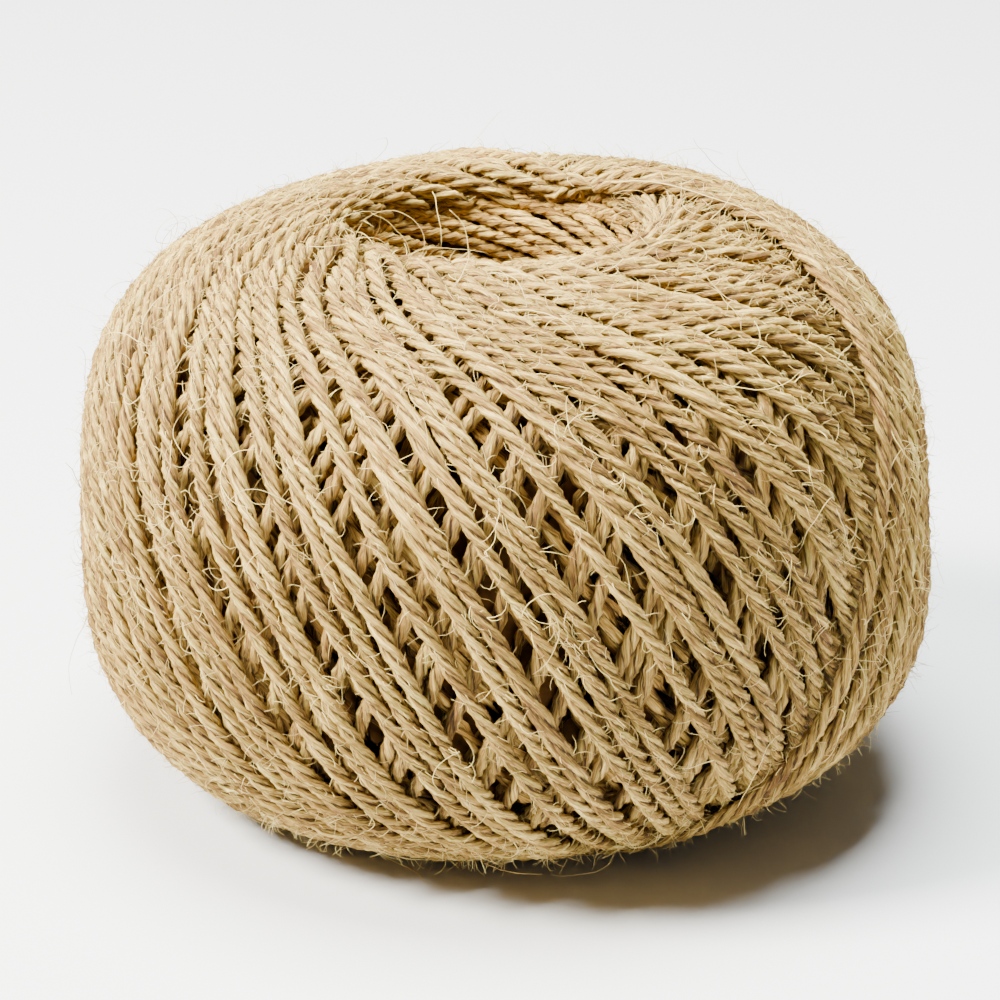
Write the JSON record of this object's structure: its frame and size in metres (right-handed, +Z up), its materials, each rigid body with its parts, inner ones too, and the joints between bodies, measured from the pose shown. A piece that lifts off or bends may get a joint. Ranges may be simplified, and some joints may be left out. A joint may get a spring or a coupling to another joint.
{
  "type": "ball of twine",
  "caption": "Ball of twisted sisal twine, wound on the slant round an open middle, with a small flat spot to rest on.",
  "frame": {"origin": "bottom centre of the ball, on the surface it rests on", "axes": "+Z up through the open middle, the viewer's side is -Y"},
  "size_m": [0.1036, 0.1048, 0.0735],
  "materials": {
    "sisal": "rough, hairy natural fibre, straw coloured"
  },
  "bodies": {
    "root": {"wound_ball": "sisal"}
  },
  "joints": []
}
